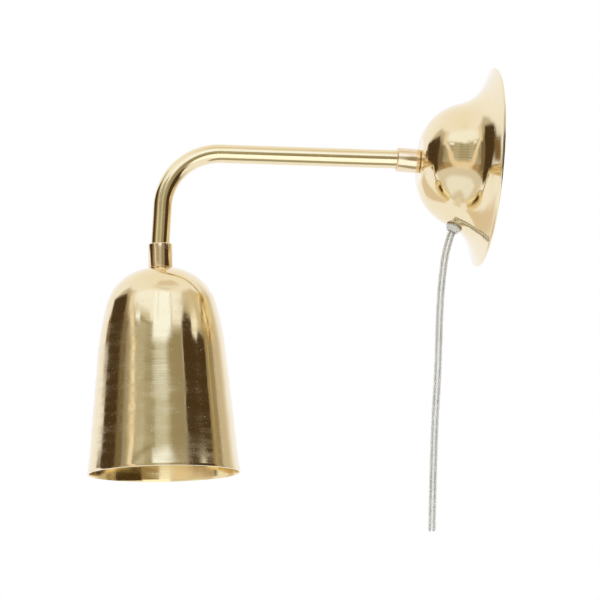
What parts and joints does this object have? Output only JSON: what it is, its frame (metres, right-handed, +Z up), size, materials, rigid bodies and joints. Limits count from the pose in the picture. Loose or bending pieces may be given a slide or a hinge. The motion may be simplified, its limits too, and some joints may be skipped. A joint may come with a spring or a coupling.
{
  "type": "wall sconce",
  "caption": "Brass wall sconce: a spun rose, a bent tube arm and a bell shade that hangs from its end over a small screw lampholder, with clear flex below the rose.",
  "frame": {"origin": "middle of the rose on the wall's face", "axes": "+Z up along the wall, +Y into the wall, so the arm reaches out along -Y; +X across"},
  "size_m": [0.108, 0.2027, 0.2531],
  "materials": {
    "rose_brass": "polished",
    "rose_collar_brass": "polished",
    "arm_brass": "polished",
    "shade_collar_brass": "polished",
    "shade_brass": "polished",
    "fitting_brass": "machined",
    "holder_cap_brass": "satin",
    "contact_brass": "stamped",
    "shell_brass": "rolled",
    "bracket_steel": "zinc plated",
    "screw_steel": "plated",
    "bushing_clear": "clear moulded",
    "sheath_clear": "clear smooth",
    "tie_nylon": "natural nylon",
    "live_core": "tinned copper under clear plastic",
    "neutral_core": "tinned copper under clear plastic",
    "holder_black": "moulded"
  },
  "bodies": {
    "wall_fixture": {"wall_bracket": "bracket_steel", "bracket_nut_rear": "fitting_brass", "bracket_nut_front": "fitting_brass", "rose_nipple": "fitting_brass", "wall_rose": "rose_brass", "cord_bushing": "bushing_clear", "cord_tie": "tie_nylon", "cord_lead": "sheath_clear", "live_core_rose": "live_core", "neutral_core_rose": "neutral_core"},
    "arm": {"rose_collar": "rose_collar_brass", "arm_tube": "arm_brass", "live_core_arm": "live_core", "neutral_core_arm": "neutral_core", "shade_collar": "shade_collar_brass", "shade_nipple": "fitting_brass", "shade": "shade_brass", "shade_washer": "fitting_brass", "shade_nut": "fitting_brass", "holder_cap": "holder_cap_brass", "cap_screw": "screw_steel", "holder_body": "holder_black", "holder_terminals": "contact_brass", "terminal_screws": "screw_steel", "centre_contact": "contact_brass", "side_contact": "contact_brass", "socket_shell": "shell_brass"}
  },
  "joints": [
    {"name": "arm_swivel", "type": "hinge", "parent": "wall_fixture", "child": "arm", "pos_m": [0, -0.0432, 0], "axis": [0, -1, 0], "range_deg": [-90, 90]}
  ]
}
